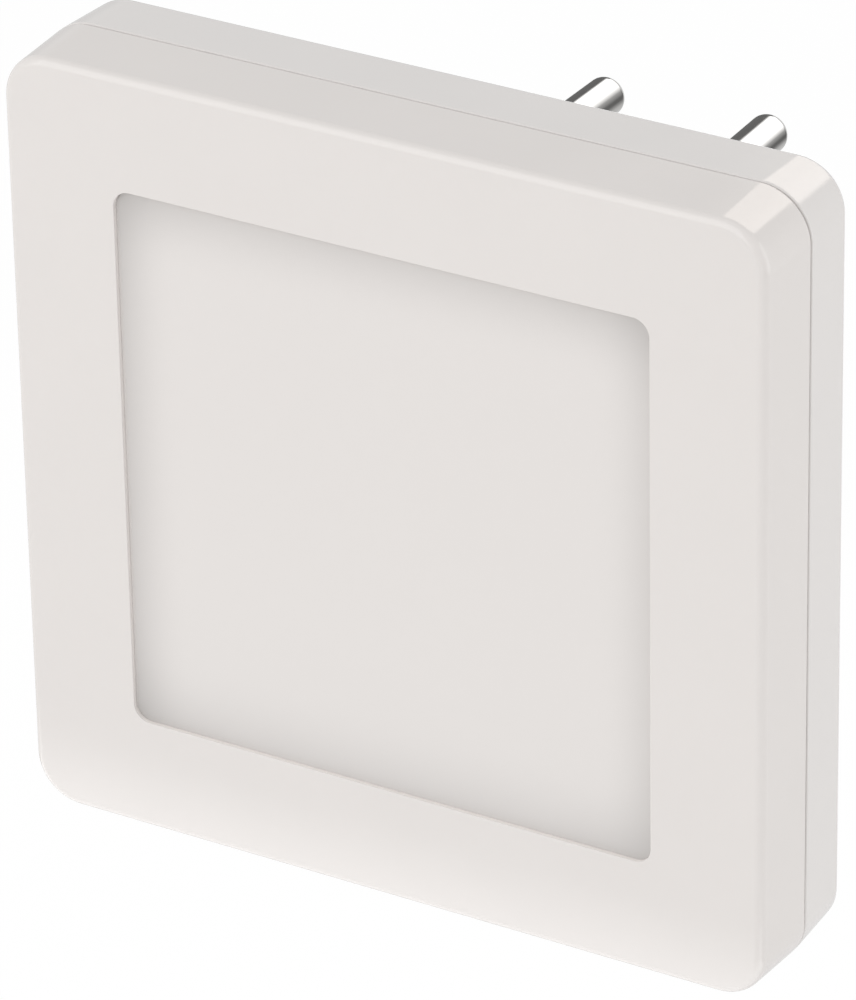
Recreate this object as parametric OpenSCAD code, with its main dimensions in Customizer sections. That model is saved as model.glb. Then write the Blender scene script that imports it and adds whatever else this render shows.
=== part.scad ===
// Square plug-in LED night light: a flat two-part housing with an opal light panel in its face,
// and a hollow plug body behind it that carries two round 4 mm pins.
//
// +Z is up, the light shines towards -Y and the pins point to +Y, into the wall socket.
// The origin is on the face of the plug that meets the socket, midway between the pins.

/* [Housing] */
// Width of the housing at the seam
housing_w = 80; // [78:0.5:95]
// Height of the housing at the seam
housing_h = 80; // [78:0.5:95]
// Depth of the front cover, from its face to the seam
front_depth = 7.8; // [7.6:0.1:10]
// Depth of the rear cover, from the seam to its back
rear_depth = 7.7; // [7.4:0.1:9.5]
// Radius of the housing's four corners at the seam
corner_r = 5.1; // [4.2:0.1:8]
// How far each cover tapers in on every side between the seam and its flat face
cover_taper = 0.3; // [0:0.05:0.6]
// Radius of the edge between the face and the sides
front_edge_r = 0.9; // [0.4:0.1:1.4]
// Radius of the edge between the back and the sides
rear_edge_r = 1.0; // [0.4:0.1:1.4]
// Wall thickness of both covers
wall = 1.8; // [1.6:0.1:2.1]
// Width of the open seam between the covers
seam_gap = 0.2; // [0.1:0.05:0.4]
// Thickness of the rear cover's tongue, which stands inside the front cover's rim
tongue_t = 0.8; // [0.6:0.05:1.0]
// Height of the tongue above the seam
tongue_h = 1.6; // [1:0.1:1.8]
// Play between the tongue and the front cover's rim
tongue_play = 0.1; // [0.05:0.05:0.2]
// How far the tongue is rooted in the rear cover, below its rim
tongue_root = 2; // [1:0.1:3]
// Thickness of the stiffening ribs in both covers
rib_t = 1.0; // [0.8:0.1:1.4]
// How far the front cover's ribs stay above the tongue
rib_lift = 0.6; // [0.3:0.1:1]
// How far the rear cover's corner webs stay below its rim
web_drop = 1.1; // [0.8:0.1:2]
// How far the ribs on the rear cover's floor stay below the LED board
floor_rib_drop = 1.4; // [1:0.1:2.5]
// Distance from the hooks at the plug down to the cross rib on the floor
cross_rib_gap = 10; // [6:0.5:14]

/* [Window and diffuser] */
// Width of the window in the face
window_w = 56; // [50:0.5:58]
// Height of the window in the face
window_h = 56; // [50:0.5:58]
// Radius of the window's corners
window_r = 2.0; // [1.5:0.1:5]
// Bevel round the window's front edge
window_bevel = 0.3; // [0.1:0.05:0.5]
// How far the diffuser lies below the face
diffuser_recess = 0.6; // [0.3:0.05:1]
// Thickness of the diffuser's panel
diffuser_t = 1.5; // [1:0.1:2]
// Play between the diffuser and the window's edge
diffuser_play = 0.12; // [0.05:0.01:0.25]
// Rounding of the diffuser's front edge
diffuser_edge = 0.3; // [0.1:0.05:0.4]
// Width of the thicker rim round the diffuser's panel
diffuser_rim = 2; // [1.5:0.1:3]
// Width of the flange that holds the diffuser behind the window's edge
flange_w = 2.4; // [1.8:0.1:2.6]
// Radius of the flange's corners
flange_r = 3; // [2:0.1:5]
// Thickness of that flange
flange_t = 1.2; // [0.8:0.1:1.4]
// Play between the flange and the ribs round it
flange_play = 0.25; // [0.1:0.05:0.4]

/* [Light unit] */
// Height of the reflector tray, from the LED board to the diffuser
tray_h = 5.0; // [4:0.1:5.4]
// Wall thickness of the tray
tray_wall = 1.0; // [0.8:0.1:1.2]
// How far the tray's sloped walls lean in, from the diffuser to the LED board
tray_slope = 4.2; // [2:0.1:5]
// How far the tray's opening reaches past the window's edge
tray_spare = 0.2; // [0.1:0.05:0.4]
// Thickness of the LED board
led_board_t = 1.2; // [0.8:0.1:1.6]
// How far the LED board reaches past the window's edge
led_board_margin = 1.0; // [0.5:0.1:2]
// Distance of the tray's four pegs from the LED board's edges
peg_inset = 3.4; // [2.4:0.1:3.6]
// Diameter of the tray's pegs
peg_d = 2.0; // [1.6:0.1:2.2]
// How far the pegs reach past the LED board
peg_reach = 2.0; // [1:0.1:2.4]
// Play round each peg
peg_play = 0.05; // [0.03:0.01:0.1]
// Diameter of the rear cover's posts that carry the LED board
board_post_d = 4.6; // [4:0.1:5]
// LED packages across
led_columns = 3; // [2:1:4]
// LED packages from bottom to top
led_rows = 3; // [2:1:4]
// Distance between neighbouring LED packages
led_pitch = 13.5; // [6:0.5:14]
// Width of an LED package
led_w = 2.8; // [2:0.1:3.5]
// Length of an LED package
led_l = 3.5; // [2.8:0.1:5]
// Height of an LED package
led_t = 0.8; // [0.6:0.1:1.2]

/* [Plug] */
// How far the plug's face stands behind the housing's back
plug_reach = 25.5; // [24:0.5:30]
// Height of the pins above the middle of the housing
pin_rise = 17.5; // [14:0.5:18]
// How far the plug body reaches past each pin, where it leaves the housing
plug_side = 8.7; // [8.2:0.1:9.7]
// Height of the plug body where it leaves the housing
plug_h = 14; // [14:0.1:16]
// Radius of the plug body's corners where it leaves the housing
plug_r = 5.5; // [4:0.1:6.5]
// How far the plug body tapers in on every side towards the socket
plug_taper = 1.0; // [0.6:0.1:1.1]
// Radius of the edge round the plug's face
plug_edge_r = 0.8; // [0.4:0.1:1.2]
// Wall thickness of the plug body
plug_wall = 1.6; // [1.4:0.1:1.7]
// Thickness of the plug's end wall
plug_end_t = 3.2; // [3:0.1:4]
// How far the plug's flange reaches over the rear cover round its opening
plug_flange_w = 3.0; // [2.5:0.1:3.2]
// Thickness of the plug's flange
plug_flange_t = 1.6; // [1.2:0.1:2]
// Play round the plug body in the rear cover's opening
plug_play = 0.1; // [0.05:0.05:0.2]
// Width of the four hooks that hold the plug's flange
hook_w = 5; // [4:0.5:7]
// Thickness of a hook
hook_t = 1.2; // [1:0.1:1.5]
// How far a hook's nose reaches over the flange
hook_nose = 0.7; // [0.4:0.1:1]
// Height of a hook's nose above the flange
hook_nose_h = 1.2; // [0.8:0.1:1.6]

/* [Pins] */
// Diameter of a pin
pin_d = 4.0; // [3.94:0.02:4.06]
// Length of a pin outside the plug
pin_len = 19; // [18:0.5:20]
// Distance between the pins' axes at the plug's face
pin_base_pitch = 18.6; // [18:0.1:19.2]
// Distance between the pins' axes at their tips
pin_tip_pitch = 17.8; // [17:0.1:18]
// Length of the rounded part of a pin's tip
pin_tip_len = 1.6; // [1:0.1:2]
// Diameter of a pin's shank in the plug's end wall
pin_shank_d = 5.0; // [4.4:0.1:5.4]
// Diameter of the flange on a pin, behind the end wall
pin_flange_d = 6.6; // [6:0.1:7]
// Thickness of the flange on a pin
pin_flange_t = 1.5; // [1.2:0.1:2]
// Depth of the pocket in the end wall that takes the pin's flange
pin_pocket = 0.7; // [0.4:0.05:0.9]
// Diameter of a pin's tail, which carries the contact tab
pin_tail_d = 3.0; // [2.4:0.1:3.2]
// Height of the riveted head on a pin's tail
rivet_h = 0.7; // [0.5:0.1:1]
// How far that head is wider than the tail
rivet_lip = 0.5; // [0.3:0.1:0.7]
// Thickness of the plate that clamps both pins
retainer_t = 2.4; // [2:0.1:3]
// Plate left round the pins' flanges
retainer_rim = 0.4; // [0.3:0.1:0.6]
// Radius of the plate's corners
retainer_r = 3; // [1:0.1:3.4]
// Diameter of the boss on the end wall that the plate sits on
boss_d = 5; // [4.4:0.1:6]
// Height of that boss
boss_h = 0.6; // [0.4:0.1:1]
// Thickness of a contact tab
tab_t = 0.4; // [0.3:0.05:0.6]
// Width of a contact tab
tab_w = 4.4; // [4:0.1:5]
// How far a contact tab laps over the driver board
tab_lap = 4; // [3:0.1:5]

/* [Driver] */
// Gap between the driver board's edges and the plug's side walls
driver_gap = 1.7; // [1.6:0.1:2.2]
// Length of the driver board, along the plug
driver_l = 17; // [16:0.5:17.5]
// Thickness of the driver board
driver_t = 1.0; // [0.8:0.1:1.2]
// How far the driver board lies below the plug's middle
driver_drop = 2.9; // [2.7:0.1:3]
// Gap between the contact tabs' feet and the driver board
driver_lift = 2; // [1.5:0.1:3]
// How deep the guides in the plug take the driver board's edges
guide_grip = 0.8; // [0.5:0.1:1]
// Thickness of the guides above and below the board
guide_t = 1.2; // [0.8:0.1:1.2]
// Length of the guides
guide_l = 12; // [8:0.5:14]
// Bare edge left round the parts on the driver board
board_edge = 1.4; // [1:0.1:1.6]
// Gap between neighbouring parts on the driver board
part_gap = 0.8; // [0.5:0.1:1]
// Width of the film capacitor, across the board
film_w = 12; // [10:0.5:12.5]
// Length of the film capacitor, along the board
film_l = 10.5; // [8:0.5:11]
// Height of the film capacitor off the board
film_h = 5; // [4:0.1:5.2]
// Diameter of the electrolytic capacitor
can_d = 5; // [4:0.1:5.2]
// Length of the electrolytic capacitor
can_l = 11; // [9:0.5:11.5]
// Diameter of the fusible resistor
fuse_d = 2.4; // [1.8:0.1:2.8]
// Length of the fusible resistor
fuse_l = 6.5; // [5:0.5:7.5]
// Length of the bridge rectifier
bridge_l = 4.7; // [4:0.1:5]
// Width of the bridge rectifier's body
bridge_w = 3.9; // [3.4:0.1:4.1]
// Height of the bridge rectifier
bridge_h = 2.3; // [1.8:0.1:2.6]
// Length of the zener diode
zener_l = 4.3; // [3.6:0.1:4.6]
// Width of the zener diode
zener_w = 2.6; // [1.8:0.1:2.9]
// Height of the zener diode
zener_h = 2.2; // [1.6:0.1:2.6]
// Length of a chip resistor
chip_l = 3.2; // [2:0.1:3.4]
// Width of a chip resistor
chip_w = 1.6; // [1.2:0.1:1.8]
// Height of a chip resistor
chip_h = 0.6; // [0.4:0.05:0.7]
// Diameter of the component legs
leg_d = 0.6; // [0.5:0.05:0.8]
// How far bent legs stand out of their part
leg_reach = 1.6; // [1.2:0.1:2]
// Length of the flat legs of the bridge rectifier
gull_reach = 1; // [0.7:0.1:1.2]
// Diameter of the insulated leads to the LED board
lead_d = 1.2; // [0.9:0.1:1.3]
// Distance between the two leads
lead_pitch = 3.2; // [2:0.1:5]
// Length of the leads on the back of the driver board
lead_lap = 4; // [3:0.1:6]
// Length of the leads' straight run behind the LED board
lead_run = 4; // [2:0.5:6]
// Gap between that run and the LED board
lead_gap = 0.4; // [0.2:0.1:0.6]

/* [Screws] */
// Diameter of the housing screws
screw_d = 2.2; // [1.8:0.1:2.4]
// Length of the housing screws below their heads
screw_len = 9.5; // [8.5:0.5:9.5]
// Diameter of the screw heads
screw_head_d = 4.0; // [3.6:0.1:4.2]
// Height of the screw heads
screw_head_h = 1.5; // [1.2:0.1:1.8]
// Depth of the holes in the back that take the screw heads
screw_recess = 3.2; // [2.4:0.1:3.4]
// Distance of the screws from the sides of the housing
screw_inset = 6.2; // [6:0.1:6.6]
// Diameter of the rear cover's towers round the screws
tower_d = 6.6; // [6.4:0.1:7]
// Diameter of the front cover's posts that take the screws
post_d = 5.6; // [5:0.1:6]
// Length of the screw that holds the pins' clamp plate
retainer_screw_len = 4.6; // [4:0.1:5]

/* [Hidden] */
$fn = 48;

shell_white = [0.90, 0.88, 0.87];
opal_white = [0.93, 0.92, 0.91];
nickel = [0.75, 0.75, 0.74];
brass = [0.80, 0.66, 0.35];
steel = [0.62, 0.63, 0.65];
board_green = [0.16, 0.42, 0.25];

slack = 0.01;           // overlap of joined shapes, and of shapes cut flush
cut = 1;                // how far cutting shapes reach past the faces they open
round_step = 15;        // angle between the points of a rounded profile
screw_play = 0.2;       // play round a screw's shank and head in their clearance holes
thread_play = 0.02;     // play between a screw's core and its pilot hole
pilot_spare = 0.4;      // how much deeper a pilot hole is than its screw
boss_play = 0.2;        // play round the boss in the clamp plate
rivet_play = 0.05;      // play between the contact tab and the riveted head

// Everything is modelled lying on its back: X to the right, Y up the wall, and Z out of the wall,
// measured from the plug's face. upright() turns it into the part's own frame.
back_z = plug_reach;
floor_z = back_z + wall;
seam_z = back_z + rear_depth;
face_z = seam_z + front_depth;
ceiling_z = face_z - wall;

// The light unit hangs under the face: diffuser flange, tray and LED board, one under the other.
flange_z = ceiling_z - flange_t;
tray_z = flange_z - tray_h;
led_board_z = tray_z - led_board_t;
flange_size = [window_w + 2 * flange_w, window_h + 2 * flange_w];
led_board_size = [window_w + 2 * led_board_margin, window_h + 2 * led_board_margin];

// Screws: from the holes in the back, through the towers, into the front cover's posts.
screw_seat_z = back_z + screw_recess;
screw_bite = screw_len - (seam_z - screw_seat_z);

// Pins: each leans by pin_tilt, so that their tips stand closer together than their roots.
pin_tilt = atan((pin_base_pitch - pin_tip_pitch) / 2 / pin_len);
pin_seat_z = plug_end_t - pin_pocket;
pin_flange_top = pin_seat_z + pin_flange_t;
retainer_z = plug_end_t + boss_h;
retainer_top = retainer_z + retainer_t;
tab_z = retainer_top;
rivet_z = tab_z + tab_t + rivet_play;
tail_top = rivet_z + rivet_h;
retainer_size = [
    pin_base_pitch + pin_flange_d + 2 * retainer_rim,
    pin_flange_d + 2 * retainer_rim
];

// The plug body reaches plug_side past each pin, and tapers towards its end wall.
plug_size = [pin_base_pitch + 2 * plug_side, plug_h];
plug_hollow = [plug_size[0] - 2 * plug_wall, plug_size[1] - 2 * plug_wall];
plug_flange = [plug_size[0] + 2 * plug_flange_w, plug_size[1] + 2 * plug_flange_w];
plug_flange_top = floor_z + plug_flange_t;

// The driver board stands on edge in the plug, its parts on the upper side.
driver_w = plug_hollow[0] - 2 * plug_taper - 2 * driver_gap;
driver_z = tab_z + tab_t + driver_lift;
driver_top_z = driver_z + driver_l;
driver_face_y = driver_t / 2 - driver_drop;
driver_back_y = -driver_t / 2 - driver_drop;

// ---------- helpers ----------

module upright() rotate([90, 0, 0]) children();

module on_housing() translate([0, -pin_rise, 0]) children();

module at_corners(size, inset)
    for (x = [-1, 1], y = [-1, 1])
        translate([x * (size[0] / 2 - inset), y * (size[1] / 2 - inset), 0]) children();

// A rounded rectangle, centred
module rounded(size, r) {
    square([size[0] - 2 * r, size[1]], center = true);
    square([size[0], size[1] - 2 * r], center = true);
    at_corners(size, r) circle(r);
}

module plate(size, r, z, t) translate([0, 0, z]) linear_extrude(t) rounded(size, r);

module box(size, from) translate(from) cube(size);

// The corner of a moulded block: full radius at wide_z, drawn in by taper and rounded at narrow_z
function corner_profile(r, wide_z, narrow_z, taper, edge_r) =
    let (side = narrow_z > wide_z ? 1 : -1, top_r = r - taper)
    concat(
        [[0, wide_z], [r, wide_z]],
        [for (a = [0 : round_step : 90])
            [top_r - edge_r * (1 - cos(a)), narrow_z - side * edge_r * (1 - sin(a))]],
        [[0, narrow_z]]
    );

// A block with round corners, tapering sides and one rounded rim
module moulded_block(size, r, wide_z, narrow_z, taper, edge_r)
    hull()
        at_corners(size, r)
            rotate_extrude() polygon(corner_profile(r, wide_z, narrow_z, taper, edge_r));

// The same with sharp rims, for the hollow inside
module tapered_hollow(size, r, wide_z, narrow_z, taper)
    hull()
        at_corners(size, r)
            translate([0, 0, min(wide_z, narrow_z)])
                cylinder(
                    h = abs(narrow_z - wide_z),
                    r1 = narrow_z > wide_z ? r : r - taper,
                    r2 = narrow_z > wide_z ? r - taper : r,
                    $fn = 32
                );

module screw(d, len, head_d, head_h) {
    slot_w = head_d / 6;
    slot_l = head_d * 0.6;
    difference() {
        rotate_extrude()
            polygon([
                [0, len], [d / 8, len], [d / 2, len - d * 0.6], [d / 2, 0], [head_d / 2, 0],
                [head_d / 2, -head_h * 0.55], [head_d * 0.38, -head_h * 0.9], [0, -head_h]
            ]);
        for (turn = [0, 90])
            rotate([0, 0, turn])
                translate([-slot_l / 2, -slot_w / 2, -head_h - slack])
                    cube([slot_l, slot_w, head_h * 0.6]);
    }
}

// Puts its children on a pin's axis: their Z runs back along the pin from the plug's face
module on_pin(side)
    translate([side * pin_base_pitch / 2, 0, 0]) rotate([0, side * pin_tilt, 0]) children();

// ---------- housing ----------

housing_size = [housing_w, housing_h];
inner_size = [housing_w - 2 * wall, housing_h - 2 * wall];
inner_r = corner_r - wall;
rebate_t = wall - tongue_t - tongue_play;
rebate_size = [housing_w - 2 * rebate_t, housing_h - 2 * rebate_t];
tongue_size = [inner_size[0] + 2 * tongue_t, inner_size[1] + 2 * tongue_t];
rib_z = seam_z + tongue_h + rib_lift;

// Webs that tie a corner post to the two walls beside it
module corner_webs(z0, z1)
    for (x = [-1, 1], y = [-1, 1])
        translate([x * (housing_w / 2 - screw_inset), y * (housing_h / 2 - screw_inset), z0]) {
            translate([x > 0 ? 0 : -screw_inset + wall / 2, -rib_t / 2, 0])
                cube([screw_inset - wall / 2, rib_t, z1 - z0]);
            translate([-rib_t / 2, y > 0 ? 0 : -screw_inset + wall / 2, 0])
                cube([rib_t, screw_inset - wall / 2, z1 - z0]);
        }

// Ribs behind the face that keep the diffuser's flange and the tray in place
module flange_ribs() {
    size = [flange_size[0] + 2 * flange_play, flange_size[1] + 2 * flange_play];
    difference() {
        plate([size[0] + 2 * rib_t, size[1] + 2 * rib_t], flange_r + rib_t, rib_z,
            ceiling_z - rib_z + slack);
        plate(size, flange_r, rib_z - cut, ceiling_z - rib_z + 2 * cut);
    }
}

module window_cut() {
    outer = [window_w + 2 * window_bevel, window_h + 2 * window_bevel];
    plate([window_w, window_h], window_r, ceiling_z - cut, wall + 2 * cut);
    hull() {
        plate([window_w, window_h], window_r, face_z - window_bevel, slack);
        plate(outer, window_r + window_bevel, face_z, slack);
    }
}

module front_cover() color(shell_white) upright() on_housing() {
    base_z = seam_z + seam_gap / 2;
    difference() {
        union() {
            difference() {
                moulded_block(housing_size, corner_r, base_z, face_z, cover_taper, front_edge_r);
                tapered_hollow(inner_size, inner_r, base_z - slack, ceiling_z, cover_taper);
                plate(rebate_size, corner_r - rebate_t, base_z - cut, tongue_h + tongue_play + cut);
            }
            at_corners(housing_size, screw_inset)
                translate([0, 0, seam_z]) cylinder(d = post_d, h = ceiling_z - seam_z + slack);
            corner_webs(rib_z, ceiling_z + slack);
            flange_ribs();
        }
        window_cut();
        at_corners(housing_size, screw_inset)
            translate([0, 0, seam_z - slack])
                cylinder(d = screw_d + 2 * thread_play, h = screw_bite + pilot_spare);
    }
}

module diffuser() color(opal_white) upright() on_housing() {
    front_z = face_z - diffuser_recess;
    size = [window_w - 2 * diffuser_play, window_h - 2 * diffuser_play];
    r = window_r - diffuser_play;
    inset = 2 * diffuser_edge;
    difference() {
        union() {
            plate(flange_size, flange_r, flange_z, flange_t);
            plate(size, r, flange_z, front_z - diffuser_edge - flange_z);
            hull() {
                plate(size, r, front_z - diffuser_edge - slack, slack);
                plate([size[0] - inset, size[1] - inset], r - diffuser_edge, front_z - slack, slack);
            }
        }
        plate([size[0] - 2 * diffuser_rim, size[1] - 2 * diffuser_rim], r, flange_z - cut,
            front_z - diffuser_t - flange_z + cut);
    }
}

// Hooks on the rear cover's floor that snap over the plug's flange
module flange_hook() {
    top = plug_flange_top;
    rotate([90, 0, 90])
        translate([0, 0, -hook_w / 2])
            linear_extrude(hook_w)
                polygon([
                    [0, floor_z - slack], [hook_t, floor_z - slack], [hook_t, top + hook_nose_h * 0.4],
                    [hook_t * 0.6, top + hook_nose_h], [-hook_nose, top + hook_nose_h * 0.25],
                    [-hook_nose, top], [0, top]
                ]);
}

module flange_hooks()
    for (x = [-1, 1], y = [-1, 1])
        translate([x * (plug_size[0] / 2 - plug_r - hook_w / 2), y * plug_flange[1] / 2, 0])
            rotate([0, 0, y > 0 ? 0 : 180]) flange_hook();

// Ribs on the rear cover's floor: between the board posts, and a grid below the plug
module floor_ribs() {
    rib_h = led_board_z - floor_rib_drop - floor_z + slack;
    post_x = led_board_size[0] / 2 - peg_inset;
    post_y = led_board_size[1] / 2 - peg_inset;
    cross_y = pin_rise - plug_flange[1] / 2 - hook_t - cross_rib_gap;
    translate([-rib_t / 2, -rib_t / 2, floor_z - slack]) {
        for (x = [-post_x, post_x]) translate([x, -post_y, 0]) cube([rib_t, 2 * post_y, rib_h]);
        for (x = [-post_x / 3, post_x / 3])
            translate([x, -post_y, 0]) cube([rib_t, post_y + cross_y, rib_h]);
        for (y = [-post_y, cross_y]) translate([-post_x, y, 0]) cube([2 * post_x, rib_t, rib_h]);
    }
}

module rear_cover() color(shell_white) upright() {
    rim_z = seam_z - seam_gap / 2;
    opening = [plug_size[0] + 2 * plug_play, plug_size[1] + 2 * plug_play];
    difference() {
        union() {
            on_housing() {
                difference() {
                    moulded_block(housing_size, corner_r, rim_z, back_z, cover_taper, rear_edge_r);
                    tapered_hollow(inner_size, inner_r, rim_z + slack, floor_z, cover_taper);
                }
                difference() {
                    plate(tongue_size, inner_r + tongue_t, rim_z - tongue_root,
                        seam_gap / 2 + tongue_h + tongue_root);
                    plate(inner_size, inner_r, rim_z - tongue_root - cut,
                        seam_gap / 2 + tongue_h + tongue_root + 2 * cut);
                }
                at_corners(housing_size, screw_inset)
                    translate([0, 0, back_z + wall / 2]) cylinder(d = tower_d, h = rear_depth - wall / 2);
                at_corners(led_board_size, peg_inset)
                    translate([0, 0, floor_z - slack])
                        cylinder(d = board_post_d, h = led_board_z - floor_z + slack);
                corner_webs(floor_z - slack, rim_z - web_drop);
                floor_ribs();
            }
            flange_hooks();
        }
        plate(opening, plug_r + plug_play, back_z - cut, wall + 2 * cut);
        on_housing() {
            at_corners(housing_size, screw_inset)
                translate([0, 0, back_z - cut]) {
                    cylinder(d = screw_head_d + 2 * screw_play, h = screw_recess + cut);
                    cylinder(d = screw_d + 2 * screw_play, h = rear_depth + 2 * cut);
                }
            at_corners(led_board_size, peg_inset)
                translate([0, 0, led_board_z - peg_reach - pilot_spare])
                    cylinder(d = peg_d + 2 * peg_play, h = peg_reach + pilot_spare + cut);
        }
    }
}

module housing_screws() color(steel) upright() on_housing()
    at_corners(housing_size, screw_inset)
        translate([0, 0, screw_seat_z]) screw(screw_d, screw_len, screw_head_d, screw_head_h);

// ---------- light unit ----------

module reflector_tray() color(shell_white) upright() on_housing() {
    wide = [window_w + 2 * tray_spare, window_h + 2 * tray_spare];
    narrow = [wide[0] - 2 * tray_slope, wide[1] - 2 * tray_slope];
    r = window_r;
    difference() {
        union() {
            plate(flange_size, flange_r, flange_z - tray_wall, tray_wall);
            plate(led_board_size, r, tray_z, tray_wall);
            hull() {
                plate([wide[0] + 2 * tray_wall, wide[1] + 2 * tray_wall], r, flange_z - slack, slack);
                plate([narrow[0] + 2 * tray_wall, narrow[1] + 2 * tray_wall], r, tray_z, slack);
            }
            at_corners(led_board_size, peg_inset)
                translate([0, 0, led_board_z - peg_reach])
                    cylinder(d = peg_d, h = peg_reach + led_board_t + tray_wall / 2);
        }
        hull() {
            plate(wide, r, flange_z, slack);
            plate(narrow, r, tray_z - slack, slack);
        }
    }
}

module led_board() color("whitesmoke") upright() on_housing()
    difference() {
        plate(led_board_size, window_r, led_board_z, led_board_t);
        at_corners(led_board_size, peg_inset)
            translate([0, 0, led_board_z - cut])
                cylinder(d = peg_d + 2 * peg_play, h = led_board_t + 2 * cut);
    }

module leds() color("lightyellow") upright() on_housing()
    for (column = [0 : led_columns - 1], row = [0 : led_rows - 1])
        translate([
            (column - (led_columns - 1) / 2) * led_pitch,
            (row - (led_rows - 1) / 2) * led_pitch,
            tray_z
        ])
            difference() {
                translate([-led_w / 2, -led_l / 2, 0]) cube([led_w, led_l, led_t]);
                translate([0, 0, led_t * 0.6]) cylinder(h = led_t, d1 = led_w * 0.6, d2 = led_w * 0.95);
            }

module chip_resistor() translate([-chip_l / 2, -chip_w / 2, 0]) cube([chip_l, chip_w, chip_h]);

module led_board_resistors() color("dimgray") upright() on_housing()
    for (x = [-1, 1])
        translate([x * led_pitch / 2, -led_pitch * (led_rows - 1) / 2, tray_z]) chip_resistor();

// ---------- plug ----------

// Grooved ribs at both ends of the plug's hollow, which hold the driver board's edges
module board_guides() {
    reach = guide_grip + driver_gap + plug_taper + plug_wall;
    for (turn = [0, 1])
        mirror([turn, 0, 0])
            translate([driver_w / 2 - guide_grip, driver_back_y - guide_t, driver_z - guide_t])
                difference() {
                    cube([reach, driver_t + 2 * guide_t, guide_l]);
                    translate([-cut, guide_t, guide_t]) cube([guide_grip + cut, driver_t, guide_l]);
                }
}

module plug_housing() color(shell_white) upright() {
    difference() {
        union() {
            moulded_block(plug_size, plug_r, floor_z, 0, plug_taper, plug_edge_r);
            plate(plug_flange, plug_r, floor_z, plug_flange_t);
        }
        difference() {
            tapered_hollow(plug_hollow, plug_r - plug_wall, plug_flange_top + slack, plug_end_t, plug_taper);
            translate([0, 0, plug_end_t - slack]) cylinder(d = boss_d, h = boss_h + slack);
            board_guides();
        }
        for (side = [-1, 1])
            on_pin(side) {
                translate([0, 0, -cut]) cylinder(d = pin_shank_d, h = plug_end_t + cut);
                translate([0, 0, pin_seat_z])
                    cylinder(d = pin_flange_d + 2 * thread_play, h = pin_flange_t + cut);
            }
        translate([0, 0, retainer_z - pilot_spare - (retainer_screw_len - retainer_t)])
            cylinder(d = screw_d + 2 * thread_play, h = retainer_screw_len);
    }
}

// One turned pin: rounded tip, 4 mm shaft, shank in the end wall, flange, and a riveted tail
module plug_pin(side) color(nickel) upright() on_pin(side)
    rotate_extrude()
        polygon(concat(
            [[0, -pin_len]],
            [for (a = [round_step : round_step : 90])
                [pin_d / 2 * sin(a), -pin_len + pin_tip_len * (1 - cos(a))]],
            [
                [pin_d / 2, 0], [pin_shank_d / 2, 0],
                [pin_shank_d / 2, pin_seat_z], [pin_flange_d / 2, pin_seat_z],
                [pin_flange_d / 2, pin_flange_top], [pin_tail_d / 2, pin_flange_top],
                [pin_tail_d / 2, rivet_z], [pin_tail_d / 2 + rivet_lip, rivet_z],
                [pin_tail_d / 2 + rivet_lip / 2, tail_top], [0, tail_top]
            ]
        ));

module plug_pin_left() plug_pin(-1);
module plug_pin_right() plug_pin(1);

module pin_retainer() color("gainsboro") upright()
    difference() {
        plate(retainer_size, retainer_r, plug_end_t, retainer_top - plug_end_t);
        translate([0, 0, plug_end_t - cut]) cylinder(d = boss_d + 2 * boss_play, h = boss_h + cut);
        for (side = [-1, 1])
            on_pin(side) {
                cylinder(d = pin_flange_d + 2 * thread_play, h = pin_flange_top);
                cylinder(d = pin_tail_d, h = tail_top);
            }
        cylinder(d = screw_d + 2 * screw_play, h = retainer_top + cut);
    }

module retainer_screw() color(steel) upright()
    translate([0, 0, retainer_top])
        rotate([180, 0, 0]) screw(screw_d, retainer_screw_len, screw_head_d, screw_head_h);

// A tab riveted to the pin's tail: a foot on the clamp plate, and a tongue up the board's back
module contact_tab(side) color(brass) upright() {
    x = side * (pin_base_pitch / 2 + (tab_z + tab_t / 2) * tan(pin_tilt));
    difference() {
        union() {
            translate([x, 0, tab_z]) cylinder(d = tab_w, h = tab_t);
            box([tab_w, -driver_back_y + tab_t, tab_t], [x - tab_w / 2, driver_back_y - tab_t, tab_z]);
            box([tab_w, tab_t, driver_z - tab_z + tab_lap], [x - tab_w / 2, driver_back_y - tab_t, tab_z]);
        }
        on_pin(side) cylinder(d = pin_tail_d, h = tail_top);
    }
}

module contact_tab_left() contact_tab(-1);
module contact_tab_right() contact_tab(1);

// ---------- driver ----------

// Puts its children on the driver board's upper side: X across, Y along the plug, Z off the board
module on_driver(x, along)
    translate([x, driver_face_y, driver_z + along]) rotate([90, 0, 0]) mirror([0, 0, 1]) children();

module driver_board() color(board_green) upright()
    box([driver_w, driver_t, driver_l], [-driver_w / 2, driver_back_y, driver_z]);

// A leg that leaves its part level with the board and turns down into it
module bent_leg(height, reach) {
    bend = leg_d;
    translate([0, -reach, 0]) cylinder(d = leg_d, h = height - bend);
    translate([0, -reach + bend, height - bend])
        rotate([180, -90, 0]) rotate_extrude(angle = 90) translate([bend, 0]) circle(d = leg_d);
    translate([0, -reach + bend, height])
        rotate([-90, 0, 0]) cylinder(d = leg_d, h = reach - bend);
}

// From the left: the film capacitor with the fusible resistor below it, the electrolytic
// capacitor, then the bridge rectifier over the zener diode
film_x = board_edge - driver_w / 2;
film_along = driver_l - film_l - part_gap;
can_x = film_x + film_w + part_gap + can_d / 2;
can_along = driver_l - can_l - part_gap;
bridge_x = can_x + can_d / 2 + 2 * part_gap + bridge_w / 2;
bridge_along = driver_l - bridge_l - gull_reach - part_gap;
zener_along = bridge_along - gull_reach - part_gap - zener_l;
fuse_along = part_gap + fuse_d / 2;

module film_capacitor() color("gold") upright()
    on_driver(film_x, film_along) {
        cube([film_w, film_l, film_h]);
        for (x = [2 * leg_d, film_w - 2 * leg_d])
            translate([x, 0, 0]) bent_leg(film_h / 2, leg_reach);
    }

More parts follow.
